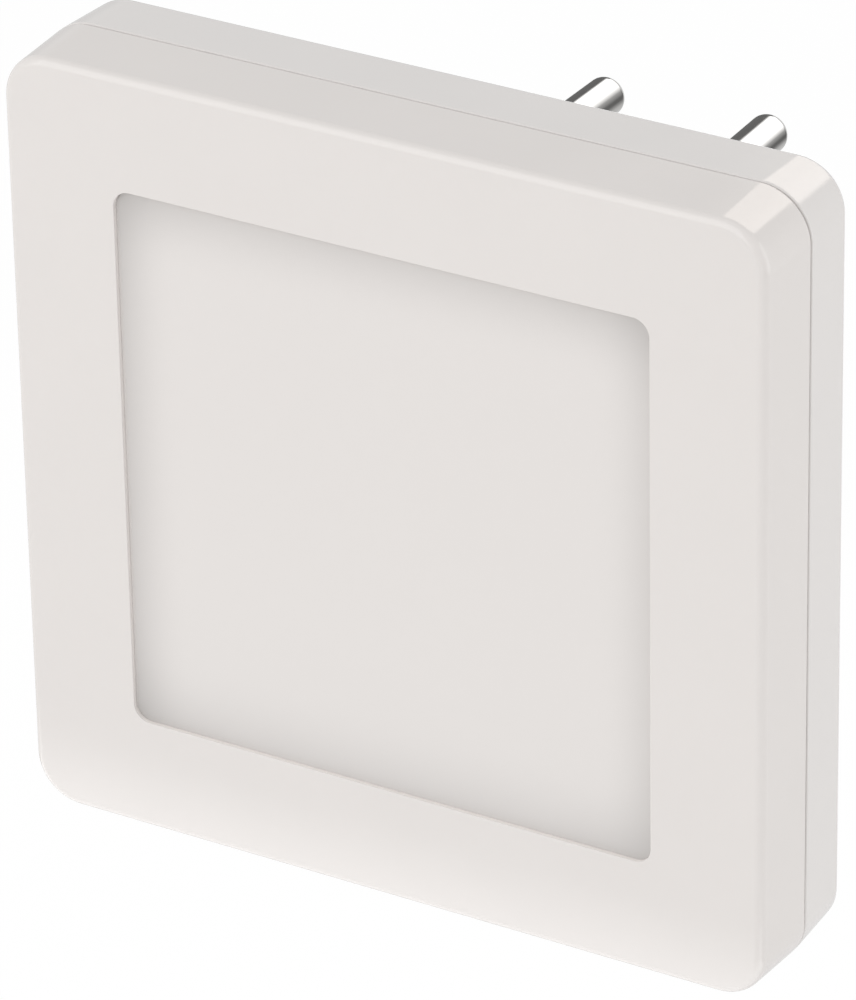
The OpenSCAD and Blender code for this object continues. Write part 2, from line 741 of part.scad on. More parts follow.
module electrolytic_capacitor() color("midnightblue") upright()
    on_driver(can_x, can_along) {
        translate([0, 0, can_d / 2])
            rotate([-90, 0, 0])
                rotate_extrude()
                    polygon([
                        [0, 0], [can_d / 2, 0], [can_d / 2, can_l * 0.09], [can_d * 0.46, can_l * 0.12],
                        [can_d * 0.46, can_l * 0.15], [can_d / 2, can_l * 0.18],
                        [can_d / 2, can_l], [0, can_l]
                    ]);
        for (x = [-1, 1]) translate([x * can_d / 5, 0, 0]) bent_leg(can_d / 2, leg_reach);
    }

module gull_leg(reach, height) {
    box([leg_d, reach, leg_d / 3], [-leg_d / 2, 0, height]);
    box([leg_d, leg_d / 3, height + leg_d / 3], [-leg_d / 2, reach - leg_d / 3, 0]);
    box([leg_d, leg_d, leg_d / 3], [-leg_d / 2, reach - leg_d / 3, 0]);
}

module bridge_rectifier() color("dimgray") upright()
    on_driver(bridge_x, bridge_along) {
        translate([-bridge_w / 2, 0, leg_d / 3]) cube([bridge_w, bridge_l, bridge_h - leg_d / 3]);
        for (x = [-1, 1], end = [0, 1])
            translate([x * bridge_w / 3.2, end * bridge_l, 0])
                rotate([0, 0, end > 0 ? 0 : 180]) gull_leg(gull_reach, bridge_h / 2);
    }

module zener_diode() color("black") upright()
    on_driver(bridge_x, zener_along)
        translate([-zener_w / 2, 0, 0]) cube([zener_w, zener_l, zener_h]);

module fusible_resistor() color("tan") upright()
    on_driver(film_x + fuse_l / 2 + 2 * leg_d, fuse_along) {
        translate([0, 0, fuse_d / 2]) rotate([0, 90, 0]) cylinder(d = fuse_d, h = fuse_l, center = true);
        translate([0, 0, fuse_d / 2])
            rotate([0, 90, 0]) cylinder(d = leg_d, h = fuse_l + 2 * leg_d, center = true);
        for (x = [-1, 1])
            translate([x * (fuse_l / 2 + leg_d), 0, 0]) {
                cylinder(d = leg_d, h = fuse_d / 2);
                translate([0, 0, fuse_d / 2]) sphere(d = leg_d, $fn = 16);
            }
    }

module bleed_resistors() color("black") upright()
    for (x = [-1, 1])
        translate([x * (chip_l + part_gap) / 2, driver_back_y, driver_z + driver_l / 2])
            rotate([90, 0, 0]) chip_resistor();

// A lead that rises off the driver board's back, runs down behind the LED board and ends on it
module lead(side) {
    x = side * lead_pitch / 2;
    bend = lead_d;
    run_z = led_board_z - lead_gap - bend;
    start_z = driver_top_z - lead_lap;
    start_y = driver_back_y - lead_d / 2;
    translate([x, start_y, start_z]) {
        cylinder(d = lead_d, h = run_z - bend - start_z);
        translate([0, -bend, run_z - bend - start_z])
            rotate([90, 0, 90]) rotate_extrude(angle = 90) translate([bend, 0]) circle(d = lead_d);
    }
    translate([x, start_y - bend, run_z]) rotate([90, 0, 0]) cylinder(d = lead_d, h = lead_run);
    translate([x, start_y - bend - lead_run, run_z]) {
        translate([0, 0, bend])
            rotate([90, 0, 90]) rotate([0, 0, 180])
                rotate_extrude(angle = 90) translate([bend, 0]) circle(d = lead_d);
        translate([0, -bend, bend]) cylinder(d = lead_d, h = lead_gap);
    }
}

module lead_positive() color("firebrick") upright() lead(1);
module lead_negative() color("black") upright() lead(-1);

front_cover();
diffuser();
rear_cover();
housing_screws();
plug_housing();
plug_pin_left();
plug_pin_right();
pin_retainer();
retainer_screw();
contact_tab_left();
contact_tab_right();
driver_board();
film_capacitor();
electrolytic_capacitor();
bridge_rectifier();
zener_diode();
fusible_resistor();
bleed_resistors();
lead_positive();
lead_negative();
led_board();
leds();
led_board_resistors();
reflector_tray();
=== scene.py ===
"""Looks for a square plug-in LED night light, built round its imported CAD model.

The covers, the opal panel, the plug body, the pins and the screws are modelled here as smooth meshes
that stand for their CAD nodes. The parts sealed inside keep their CAD meshes and get their materials.
"""

import math

import bmesh
import bpy
from mathutils import Matrix, Vector


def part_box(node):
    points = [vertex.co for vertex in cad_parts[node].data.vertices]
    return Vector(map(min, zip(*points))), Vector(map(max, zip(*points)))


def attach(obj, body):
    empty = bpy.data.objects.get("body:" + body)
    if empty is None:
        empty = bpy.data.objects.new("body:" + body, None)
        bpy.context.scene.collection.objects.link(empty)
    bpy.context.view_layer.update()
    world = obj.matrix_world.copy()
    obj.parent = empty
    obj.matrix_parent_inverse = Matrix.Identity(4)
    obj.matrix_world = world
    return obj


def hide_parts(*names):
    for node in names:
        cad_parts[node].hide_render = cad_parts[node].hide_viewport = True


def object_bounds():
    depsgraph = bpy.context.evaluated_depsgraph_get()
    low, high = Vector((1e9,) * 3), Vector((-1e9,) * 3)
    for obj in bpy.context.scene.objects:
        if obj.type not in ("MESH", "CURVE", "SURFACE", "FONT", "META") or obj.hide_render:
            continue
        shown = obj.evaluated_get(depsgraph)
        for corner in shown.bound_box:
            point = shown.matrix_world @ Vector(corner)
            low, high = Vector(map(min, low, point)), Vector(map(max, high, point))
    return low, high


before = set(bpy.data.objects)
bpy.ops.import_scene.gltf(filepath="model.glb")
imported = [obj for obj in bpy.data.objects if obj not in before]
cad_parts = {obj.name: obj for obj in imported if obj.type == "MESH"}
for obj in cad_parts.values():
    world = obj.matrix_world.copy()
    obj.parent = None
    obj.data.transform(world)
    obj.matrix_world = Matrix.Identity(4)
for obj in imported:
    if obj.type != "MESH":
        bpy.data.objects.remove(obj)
cad_box = [list(corner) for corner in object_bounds()]

MM = 0.001
BODY = "root"

# Sizes that the frame gives. Heights over the plug's face, towards the room, are called w.
front_lo, front_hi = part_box("front_cover")
rear_lo, rear_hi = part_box("rear_cover")
panel_lo, panel_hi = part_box("diffuser")
plug_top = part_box("plug_housing")[0].y
clamp_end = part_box("pin_retainer")[0].y

SEAM = 0.2 * MM
HALF = (front_hi.x - front_lo.x) / 2
CENTRE_Z = (front_hi.z + front_lo.z) / 2
FACE_W = -front_lo.y
FRONT_RIM_W = -front_hi.y
REAR_RIM_W = FRONT_RIM_W - SEAM
TONGUE_W = -rear_lo.y
BACK_W = -rear_hi.y
FLANGE_HALF = (panel_hi.x - panel_lo.x) / 2
FLANGE_W = -panel_hi.y
PANEL_W = -panel_lo.y
PLUG_TOP_W = -plug_top

# Sizes of the housing
WALL = 1.8 * MM
CORNER_R = 5.1 * MM
TAPER = 0.3 * MM
FRONT_EDGE_R = 0.9 * MM
REAR_EDGE_R = 1.0 * MM
RIM_R = 0.2 * MM
WINDOW_HALF = 28 * MM
WINDOW_R = 1.7 * MM
WINDOW_EDGE_R = 0.1 * MM
CEILING_W = FACE_W - WALL
FLOOR_W = BACK_W + WALL
TONGUE_T = 0.8 * MM
TONGUE_PLAY = 0.1 * MM
REBATE_T = WALL - TONGUE_T - TONGUE_PLAY
RIB_T = 1.0 * MM
SCREW_INSET = 6.2 * MM
# How deep ribs and posts run into the wall that carries them
SUNK = 0.4 * MM

# Sizes of the panel, which stands further forward than its CAD node by PANEL_RISE
PANEL_PLAY = 0.005 * MM
PANEL_RISE = 0.17 * MM
PANEL_EDGE_R = 0.04 * MM
PANEL_T = 1.5 * MM
PANEL_WALL = 2 * MM
FLANGE_T = 1.2 * MM
FLANGE_R = 3 * MM
FLANGE_PLAY = 0.25 * MM

# Sizes of the plug
PLUG_HALF = (18 * MM, 7 * MM)
PLUG_R = 5.5 * MM
PLUG_TAPER = 1.0 * MM
PLUG_EDGE_R = 0.8 * MM
PLUG_WALL = 1.6 * MM
PLUG_END_T = 3.2 * MM
PLUG_FLANGE = 3 * MM

# Sizes of the pins. Depths are below the plug's face.
PIN_PITCH = 18.6 * MM
PIN_TILT = math.atan(0.4 / 19)
PIN_R = 2.0 * MM
PIN_LEN = 19 * MM
PIN_TIP = 1.6 * MM
PIN_FOOT_R = 0.12 * MM
COLLAR_R = 2.5 * MM
COLLAR_DEPTH = 2.5 * MM
SHOULDER_R = 3.3 * MM
SHOULDER_DEPTH = 4.0 * MM
TAIL_R = 1.5 * MM
RIVET_R = 2.0 * MM
RIVET_DEPTH = 6.65 * MM
SEAT_PLAY = 0.02 * MM
SEAT_FLARE = 0.15 * MM
COLLAR_BEVEL = 0.08 * MM

# Sizes of the pan-head screws
HEAD_R = 2.0 * MM
HEAD_H = 1.5 * MM
THREAD_R = 1.1 * MM
THREAD_PITCH = 0.8 * MM
THREAD_DEPTH = 0.256 * THREAD_R
THREAD_FADE_IN = 0.8 * THREAD_PITCH
THREAD_FADE_OUT = 1.6 * THREAD_PITCH
TIP_LEN = 2.2 * THREAD_PITCH
TIP_SHARE = 0.25
HOUSING_SCREW_LEN = 9.5 * MM
CLAMP_SCREW_LEN = 4.6 * MM
PILOT_R = 1.12 * MM

# How finely round shapes are divided
ARC_STEPS = 20
EDGE_STEPS = 10
RIM_STEPS = 4
LIP_STEPS = 6
TIP_STEPS = 12
THREAD_STEPS = 8
SMALL_ROUND = 32
ROUND = 48
LARGE_ROUND = 64
PIN_ROUND = 72

ROOMWARD = Vector((0, -1, 0))


# ---------- mesh helpers ----------

def at(u, v, w):
    """The point u to the right and v above the housing's middle, at height w over the plug's face."""
    return Vector((u, -w, v + CENTRE_Z))


def ring(half_u, half_v, radius, w, v_shift=0.0):
    """Points round a rounded rectangle, counted the same way for every size."""
    points = []
    for quarter, (su, sv) in enumerate(((1, 1), (-1, 1), (-1, -1), (1, -1))):
        for step in range(ARC_STEPS + 1):
            angle = math.radians(90 * (quarter + step / ARC_STEPS))
            u = su * (half_u - radius) + radius * math.cos(angle)
            v = sv * (half_v - radius) + radius * math.sin(angle)
            points.append(at(u, v + v_shift, w))
    return points


def loft(mesh, rings, closed=False):
    """Joins rings of equal count into a skin. An open one gets a face at each end."""
    loops = [[mesh.verts.new(point) for point in points] for points in rings]
    pairs = list(zip(loops, loops[1:]))
    if closed:
        pairs.append((loops[-1], loops[0]))
    else:
        mesh.faces.new(loops[0])
        mesh.faces.new(loops[-1])
    for one, other in pairs:
        for k in range(len(one)):
            after = (k + 1) % len(one)
            mesh.faces.new((one[k], one[after], other[after], other[k]))


def arc(inset, w, radius, start, end, steps=EDGE_STEPS):
    """(inset, w) along an edge's rounding: 0 degrees faces outward, 90 the room and -90 the wall."""
    found = []
    for step in range(steps + 1):
        angle = math.radians(start + (end - start) * step / steps)
        found.append((inset - radius * math.cos(angle), w + radius * math.sin(angle)))
    return found


def square(half, radius, w):
    return ring(half, half, radius, w)


def outline(stations):
    """Rings at the given insets from the housing's outline."""
    return [square(HALF - inset, CORNER_R - inset, w) for inset, w in stations]


def turned(mesh, profile, centre, axis, segments=LARGE_ROUND):
    """Skin of revolution. profile holds (radius, height along the axis), from one end to the other."""
    turn = axis.to_track_quat("Z", "X").to_matrix()
    loops = []
    for radius, height in profile:
        count = 1 if radius < 1e-9 else segments
        loops.append([
            mesh.verts.new(centre + turn @ Vector((
                radius * math.cos(2 * math.pi * k / segments),
                radius * math.sin(2 * math.pi * k / segments),
                height)))
            for k in range(count)])
    for one, other in zip(loops, loops[1:]):
        for k in range(segments):
            after = (k + 1) % segments
            corners = [one[k % len(one)], one[after % len(one)],
                       other[after % len(other)], other[k % len(other)]]
            mesh.faces.new(list(dict.fromkeys(corners)))
    for loop in (loops[0], loops[-1]):
        if len(loop) > 1:
            mesh.faces.new(loop)


def block(mesh, lo, hi):
    """A box between two (u, v, w) corners."""
    corners = [mesh.verts.new(at(u, v, w)) for u in (lo[0], hi[0]) for v in (lo[1], hi[1])
               for w in (lo[2], hi[2])]
    for face in ((0, 1, 3, 2), (4, 6, 7, 5), (0, 4, 5, 1), (2, 3, 7, 6), (0, 2, 6, 4), (1, 5, 7, 3)):
        mesh.faces.new([corners[k] for k in face])


def rod(mesh, u, v, w0, w1, radius, segments=ROUND):
    """A round bar along w."""
    turned(mesh, [(radius, 0), (radius, w1 - w0)], at(u, v, w0), ROOMWARD, segments)


def made(name, build):
    """An object from a function that fills a bmesh with closed skins."""
    mesh = bmesh.new()
    build(mesh)
    bmesh.ops.recalc_face_normals(mesh, faces=mesh.faces)
    data = bpy.data.meshes.new(name)
    mesh.to_mesh(data)
    mesh.free()
    obj = bpy.data.objects.new(name, data)
    bpy.context.scene.collection.objects.link(obj)
    return obj


def combined(obj, operation, build):
    """Adds or takes away the solids that build makes."""
    tool = made("tool", build)
    step = obj.modifiers.new("combine", "BOOLEAN")
    step.operation = operation
    step.solver = "EXACT"
    step.use_self = True
    step.object = tool
    graph = bpy.context.evaluated_depsgraph_get()
    data = bpy.data.meshes.new_from_object(obj.evaluated_get(graph))
    obj.modifiers.clear()
    obj.data = data
    bpy.data.objects.remove(tool)


def finished(obj, material, node, sharp=32):
    """Smooth shading, with the flat faces kept flat, and the object's place in the frame."""
    obj.data.shade_smooth()
    obj.data.set_sharp_from_angle(angle=math.radians(sharp))
    even = obj.modifiers.new("even_normals", "WEIGHTED_NORMAL")
    even.keep_sharp = True
    obj.data.materials.clear()
    obj.data.materials.append(material)
    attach(obj, BODY)
    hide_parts(node)


def corners(half_u, half_v=None):
    """The four (u, v) corners of a rectangle, or of a square where half_v is left out."""
    half_v = half_u if half_v is None else half_v
    return [(su * half_u, sv * half_v) for su in (-1, 1) for sv in (-1, 1)]


# ---------- materials ----------

def new_material(name):
    material = bpy.data.materials.new(name)
    material.use_nodes = True
    nodes = material.node_tree.nodes
    return material, nodes, material.node_tree.links, nodes["Principled BSDF"]


def add(nodes, kind, **values):
    node = nodes.new(kind)
    for name, value in values.items():
        setattr(node, name, value)
    return node


def noise(nodes, links, scale, detail=3.0):
    place = add(nodes, "ShaderNodeTexCoord")
    field = add(nodes, "ShaderNodeTexNoise")
    field.inputs["Scale"].default_value = scale
    field.inputs["Detail"].default_value = detail
    links.new(place.outputs["Object"], field.inputs["Vector"])
    return field.outputs["Fac"]


def eased(nodes, links, source, start, end, low, high, course="SMOOTHERSTEP"):
    """Goes from low to high while a field goes from start to end."""
    node = add(nodes, "ShaderNodeMapRange", interpolation_type=course)
    node.inputs["From Min"].default_value = start
    node.inputs["From Max"].default_value = end
    node.inputs["To Min"].default_value = low
    node.inputs["To Max"].default_value = high
    links.new(source, node.inputs["Value"])
    return node.outputs["Result"]


def spread(nodes, links, source, low, high):
    """Maps a noise onto a range. Few of its values lie outside 0.3 to 0.7."""
    return eased(nodes, links, source, 0.3, 0.7, low, high, "LINEAR")


def tint(nodes, links, source, one, other):
    """Blends two colours by a field."""
    node = add(nodes, "ShaderNodeMix", data_type="RGBA")
    node.inputs["A"].default_value = (*one, 1)
    node.inputs["B"].default_value = (*other, 1)
    links.new(source, node.inputs["Factor"])
    return node.outputs["Result"]


def maths(nodes, links, operation, *terms):
    """A sum, product or other result of fields and numbers."""
    node = add(nodes, "ShaderNodeMath", operation=operation)
    for socket, term in zip(node.inputs, terms):
        if isinstance(term, (int, float)):
            socket.default_value = term
        else:
            links.new(term, socket)
    return node.outputs[0]


def times(nodes, links, one, other):
    """The product of two fields. The first may be missing."""
    return other if one is None else maths(nodes, links, "MULTIPLY", one, other)


def bump(nodes, links, source, distance):
    node = add(nodes, "ShaderNodeBump")
    node.inputs["Distance"].default_value = distance
    links.new(source, node.inputs["Height"])
    return node.outputs["Normal"]


def shaded(colour, share):
    return tuple(channel * share for channel in colour)


def moulded(name, colour, roughness, grain=0.004, vary=0.012):
    """Injection-moulded plastic: faint flow marks in its colour and gloss, and a fine spark texture."""
    material, nodes, links, shader = new_material(name)
    flow = noise(nodes, links, 90, 2)
    links.new(tint(nodes, links, flow, shaded(colour, 1 - vary), shaded(colour, 1 + vary)),
              shader.inputs["Base Color"])
    links.new(spread(nodes, links, flow, roughness - 0.03, roughness + 0.03), shader.inputs["Roughness"])
    links.new(bump(nodes, links, noise(nodes, links, 9000, 2), grain * MM), shader.inputs["Normal"])
    return material


# Painted shade along the panel's borders: a border's axis and side, how much darker the panel is painted
# there, the width of that painted shade, and how much lighter the last half millimetre is painted, as
# painted light (darker where negative). The last row is a broad painted shade along the bottom.
PAINTED_BORDER_SHADES = (("X", -1, 0.24, 7 * MM, 0.30), ("X", 1, 0.165, 6.5 * MM, -0.04),
           ("Z", -1, 0.165, 9 * MM, 0.06), ("Z", 1, 0.19, 8 * MM, 0.04),
           ("Z", -1, 0.06, 22 * MM, 0))
# The width of the painted light or shade in each border's last half millimetre
PAINTED_EDGE_LIGHT_WIDTH = 0.5 * MM
# A slight painted shade in the panel's corners, by how far it starts and ends from the middle, both ways
# added
CORNER_SHADE_START = 41 * MM
CORNER_SHADE_END = 57 * MM
CORNER_SHADE = 0.93


def opal():
    """Opal panel: even over the LEDs, with painted shade towards its borders and corners and painted light
    at their very edge.
    """
    centre = (0.776, 0.742, 0.719)
    material, nodes, links, shader = new_material("opal_panel")
    place = add(nodes, "ShaderNodeTexCoord")
    middle = add(nodes, "ShaderNodeMapping", vector_type="TEXTURE")
    middle.inputs["Location"].default_value = (0, 0, CENTRE_Z)
    links.new(place.outputs["Object"], middle.inputs["Vector"])
    split = add(nodes, "ShaderNodeSeparateXYZ")
    links.new(middle.outputs["Vector"], split.inputs[0])
    light = None
    # Multiplies in each border's painted shade, then the painted light (darker where negative) at its very
    # edge
    for axis, side, shade, fade, painted_edge_light in PAINTED_BORDER_SHADES:
        border = side * WINDOW_HALF
        for width, change in ((side * fade, -shade), (side * PAINTED_EDGE_LIGHT_WIDTH, painted_edge_light)):
            course = eased(nodes, links, split.outputs[axis], border - width, border + width,
                           1, 1 + 2 * change)
            light = times(nodes, links, light, course)
    away = [maths(nodes, links, "ABSOLUTE", split.outputs[axis]) for axis in ("X", "Z")]
    corner = maths(nodes, links, "ADD", *away)
    course = eased(nodes, links, corner, CORNER_SHADE_START, CORNER_SHADE_END, 1, CORNER_SHADE)
    light = times(nodes, links, light, course)
    links.new(tint(nodes, links, light, shaded(centre, 0), centre), shader.inputs["Base Color"])
    links.new(spread(nodes, links, noise(nodes, links, 120, 2), 0.42, 0.48), shader.inputs["Roughness"])
    links.new(bump(nodes, links, noise(nodes, links, 6000, 2), 0.003 * MM), shader.inputs["Normal"])
    return material


def plated():
    """Bright nickel on a turned brass pin: fine rings round it and a faint warm haze."""
    material, nodes, links, shader = new_material("nickel_plated")
    shader.inputs["Metallic"].default_value = 1.0
    haze = noise(nodes, links, 300, 3)
    links.new(tint(nodes, links, haze, (0.64, 0.63, 0.615), (0.69, 0.68, 0.665)),
              shader.inputs["Base Color"])
    links.new(spread(nodes, links, haze, 0.07, 0.12), shader.inputs["Roughness"])
    place = add(nodes, "ShaderNodeTexCoord")
    rings = add(nodes, "ShaderNodeTexWave", wave_type="BANDS", bands_direction="Y")
    rings.inputs["Scale"].default_value = 1500
    rings.inputs["Distortion"].default_value = 0.6
    links.new(place.outputs["Object"], rings.inputs["Vector"])
    links.new(bump(nodes, links, rings.outputs["Fac"], 0.0004 * MM), shader.inputs["Normal"])
    return material


def zinc():
    material, nodes, links, shader = new_material("zinc_plated")
    shader.inputs["Metallic"].default_value = 1.0
    haze = noise(nodes, links, 900, 4)
    links.new(tint(nodes, links, haze, (0.52, 0.53, 0.55), (0.66, 0.67, 0.68)), shader.inputs["Base Color"])
    links.new(spread(nodes, links, haze, 0.24, 0.42), shader.inputs["Roughness"])
    return material


def stamped():
    material, nodes, links, shader = new_material("stamped_brass")
    shader.inputs["Metallic"].default_value = 1.0
    haze = noise(nodes, links, 700, 4)
    links.new(tint(nodes, links, haze, (0.66, 0.46, 0.18), (0.78, 0.58, 0.27)), shader.inputs["Base Color"])
    links.new(spread(nodes, links, haze, 0.2, 0.38), shader.inputs["Roughness"])
    return material


def board(name, colour, dark):
    """Solder mask over copper: a slight mottle and a waxy gloss."""
    material, nodes, links, shader = new_material(name)
    weave = noise(nodes, links, 1500, 4)
    links.new(tint(nodes, links, weave, dark, colour), shader.inputs["Base Color"])
    links.new(spread(nodes, links, weave, 0.3, 0.45), shader.inputs["Roughness"])
    links.new(bump(nodes, links, weave, 0.01 * MM), shader.inputs["Normal"])
    return material


SHELL = (0.778, 0.742, 0.718)
REAR_SHELL = (0.777, 0.748, 0.729)
shell_plastic = moulded("shell_plastic", SHELL, 0.13, grain=0.0005)
rear_plastic = moulded("rear_plastic", REAR_SHELL, 0.13, grain=0.0005)
opal_plastic = opal()
nickel = plated()
steel = zinc()
brass = stamped()


# ---------- housing ----------

def front_shell(mesh):
    side = math.degrees(math.atan(TAPER / (FACE_W - FRONT_RIM_W)))
    stations = arc(RIM_R, FRONT_RIM_W + RIM_R, RIM_R, -90, side, RIM_STEPS)
    stations += arc(TAPER + FRONT_EDGE_R, FACE_W - FRONT_EDGE_R, FRONT_EDGE_R, side, 90)
    rings = outline(stations)
    lip = [(WINDOW_EDGE_R * (1 - math.sin(a)), FACE_W - WINDOW_EDGE_R * (1 - math.cos(a)))
           for a in (math.radians(90 * step / LIP_STEPS) for step in range(LIP_STEPS + 1))]
    lip.append((0, CEILING_W))
    rings += [square(WINDOW_HALF + grow, WINDOW_R + grow, w) for grow, w in lip]
    rebate_w = TONGUE_W + 2 * TONGUE_PLAY
    rings += outline([(WALL + TAPER, CEILING_W), (WALL, rebate_w), (REBATE_T, rebate_w),
                      (REBATE_T, FRONT_RIM_W)])
    loft(mesh, rings, closed=True)


POST = HALF - SCREW_INSET
RIB_W = TONGUE_W + 0.6 * MM
POST_R = 2.8 * MM
PILOT_W = FRONT_RIM_W + 5.3 * MM


def webs(mesh, w0, w1):
    reach = SCREW_INSET - WALL / 2
    for u, v in corners(POST):
        away_u, away_v = math.copysign(reach, u), math.copysign(reach, v)
        block(mesh, (min(u, u + away_u), v - RIB_T / 2, w0), (max(u, u + away_u), v + RIB_T / 2, w1))
        block(mesh, (u - RIB_T / 2, min(v, v + away_v), w0), (u + RIB_T / 2, max(v, v + away_v), w1))


def front_inside(mesh):
    """The screw posts and their webs, and the rib round the panel's flange."""
    root = CEILING_W + SUNK
    webs(mesh, RIB_W, root)
    for u, v in corners(POST):
        rod(mesh, u, v, FRONT_RIM_W - SEAM / 2, root, POST_R)
    inner = FLANGE_HALF + FLANGE_PLAY
    stations = ((0, RIB_W), (0, root), (RIB_T, root), (RIB_T, RIB_W))
    loft(mesh, [square(inner + grow, FLANGE_R + grow, w) for grow, w in stations], closed=True)


def front_holes(mesh):
    for u, v in corners(POST):
        rod(mesh, u, v, FRONT_RIM_W - MM, PILOT_W, PILOT_R, SMALL_ROUND)


front_cover = made("front_cover_shell", front_shell)
combined(front_cover, "UNION", front_inside)
combined(front_cover, "DIFFERENCE", front_holes)
finished(front_cover, shell_plastic, "front_cover")


def lit_window_wall(obj, material):
    """The window's wall is painted paler than the shell: painted light, standing for the light it catches
    from the opal panel's edge.
    """
    obj.data.materials.append(material)
    reach = WINDOW_HALF + WINDOW_EDGE_R / 2
    for face in obj.data.polygons:
        spot = face.center
        inside = max(abs(spot.x), abs(spot.z - CENTRE_Z)) < reach
        if inside and CEILING_W < -spot.y < FACE_W - WINDOW_EDGE_R:
            face.material_index = 1


# A paler copy of the shell plastic: painted light on the window's wall
lit_window_wall(front_cover, moulded("painted_light_window_wall", shaded(SHELL, 1.18), 0.3, grain=0.0005))

# The opening for the plug, whose middle lies above the housing's
OPENING_SHIFT = -CENTRE_Z
OPENING_PLAY = 0.1 * MM
OPENING_EDGE = 0.2 * MM


def opening_ring(grow, w):
    return ring(PLUG_HALF[0] + OPENING_PLAY + grow, PLUG_HALF[1] + OPENING_PLAY + grow,
                PLUG_R + OPENING_PLAY + grow, w, OPENING_SHIFT)


def rear_shell(mesh):
    side = math.degrees(math.atan(TAPER / (REAR_RIM_W - BACK_W)))
    stations = arc(RIM_R, REAR_RIM_W - RIM_R, RIM_R, 90, -side, RIM_STEPS)
    stations += arc(TAPER + REAR_EDGE_R, BACK_W + REAR_EDGE_R, REAR_EDGE_R, -side, -90)
    rings = outline(stations)
    rings += [opening_ring(OPENING_EDGE, BACK_W), opening_ring(0, BACK_W + OPENING_EDGE),
              opening_ring(0, FLOOR_W)]
    rings += outline([(WALL + TAPER, FLOOR_W), (WALL, REAR_RIM_W), (WALL, TONGUE_W),
                      (WALL - TONGUE_T, TONGUE_W), (WALL - TONGUE_T, REAR_RIM_W)])
    loft(mesh, rings, closed=True)


# The LED board's place, its posts with holes for the tray's pegs, the screws' holes and the hooks
LED_BOARD_W = FLANGE_W - 6.2 * MM
LED_BOARD_HALF = WINDOW_HALF + MM
PEG_INSET = 3.4 * MM
PEG = LED_BOARD_HALF - PEG_INSET
BOARD_POST_R = 2.3 * MM
PEG_HOLE_R = 1.05 * MM
PEG_HOLE_DEPTH = 2.4 * MM
REAR_POST_R = 3.3 * MM
HEAD_HOLE_R = 2.2 * MM
HEAD_HOLE_EDGE = 0.25 * MM
SCREW_HOLE_R = 1.3 * MM
RECESS = 3.2 * MM
HOOK_U = 10 * MM
HOOK_T = 1.2 * MM
HOOK_NOSE = 0.7 * MM
HOOK_RISE = 1.2 * MM
HOOK_HALF = 2.5 * MM
WEB_TOP_W = REAR_RIM_W - 1.1 * MM
FLOOR_RIB_W = LED_BOARD_W - 1.4 * MM
CROSS_RIB_V = OPENING_SHIFT - PLUG_HALF[1] - 14.2 * MM
# Longer than any wall that a hole runs through
THROUGH = 12 * MM


def rear_inside(mesh):
    """The screw posts and their webs, the posts under the LED board, and the ribs between them."""
    low = FLOOR_W - SUNK
    webs(mesh, low, WEB_TOP_W)
    for u, v in corners(POST):
        rod(mesh, u, v, low, REAR_RIM_W + SEAM / 2, REAR_POST_R)
    for u, v in corners(PEG):
        rod(mesh, u, v, low, LED_BOARD_W, BOARD_POST_R)
    half_t = RIB_T / 2
    for u, end_v in ((-PEG, PEG), (PEG, PEG), (-PEG / 3, CROSS_RIB_V), (PEG / 3, CROSS_RIB_V)):
        block(mesh, (u - half_t, -PEG, low), (u + half_t, end_v, FLOOR_RIB_W))
    for v in (-PEG, CROSS_RIB_V):
        block(mesh, (-PEG, v - half_t, low), (PEG, v + half_t, FLOOR_RIB_W))


def rear_hooks(mesh):
    """Four hooks with a sloped nose, which hold the plug's flange down."""
    foot_w = FLOOR_W - SUNK
    flange_v = PLUG_HALF[1] + PLUG_FLANGE
    profile = [(0, foot_w), (HOOK_T, foot_w), (HOOK_T, PLUG_TOP_W + HOOK_RISE * 0.4),
               (HOOK_T * 0.6, PLUG_TOP_W + HOOK_RISE), (-HOOK_NOSE, PLUG_TOP_W + HOOK_RISE * 0.25),
               (-HOOK_NOSE, PLUG_TOP_W), (0, PLUG_TOP_W)]
    for u, side in corners(HOOK_U, 1):
        loft(mesh, [[at(u + end, OPENING_SHIFT + side * (flange_v + out), w) for out, w in profile]
                    for end in (-HOOK_HALF, HOOK_HALF)])


def rear_holes(mesh):
    profile = [(HEAD_HOLE_R + HEAD_HOLE_EDGE + MM, -MM), (HEAD_HOLE_R, HEAD_HOLE_EDGE),
               (HEAD_HOLE_R, RECESS), (SCREW_HOLE_R, RECESS), (SCREW_HOLE_R, THROUGH)]
    for u, v in corners(POST):
        turned(mesh, profile, at(u, v, BACK_W), ROOMWARD, ROUND)
    for u, v in corners(PEG):
        rod(mesh, u, v, LED_BOARD_W - PEG_HOLE_DEPTH, LED_BOARD_W + MM, PEG_HOLE_R, SMALL_ROUND)


rear_cover = made("rear_cover_shell", rear_shell)
combined(rear_cover, "UNION", rear_inside)
combined(rear_cover, "UNION", rear_hooks)
combined(rear_cover, "DIFFERENCE", rear_holes)
finished(rear_cover, rear_plastic, "rear_cover")


def panel(mesh):
    """The panel with its rounded upper edge, its flange and the hollow behind it."""
    half = WINDOW_HALF - PANEL_PLAY
    radius = WINDOW_R - PANEL_PLAY
    top = PANEL_W + PANEL_RISE
    hollow = half - PANEL_WALL
    flange_top = FLANGE_W + FLANGE_T
    rings = []
    for step in range(LIP_STEPS + 1):
        angle = math.radians(90 - 90 * step / LIP_STEPS)
        inset = PANEL_EDGE_R * (1 - math.cos(angle))
        rings.append(square(half - inset, radius - inset, top - PANEL_EDGE_R * (1 - math.sin(angle))))
    rings += [square(half, radius, flange_top), square(FLANGE_HALF, FLANGE_R, flange_top),
              square(FLANGE_HALF, FLANGE_R, FLANGE_W), square(hollow, radius, FLANGE_W),
              square(hollow, radius, PANEL_W - PANEL_T)]
    loft(mesh, rings)


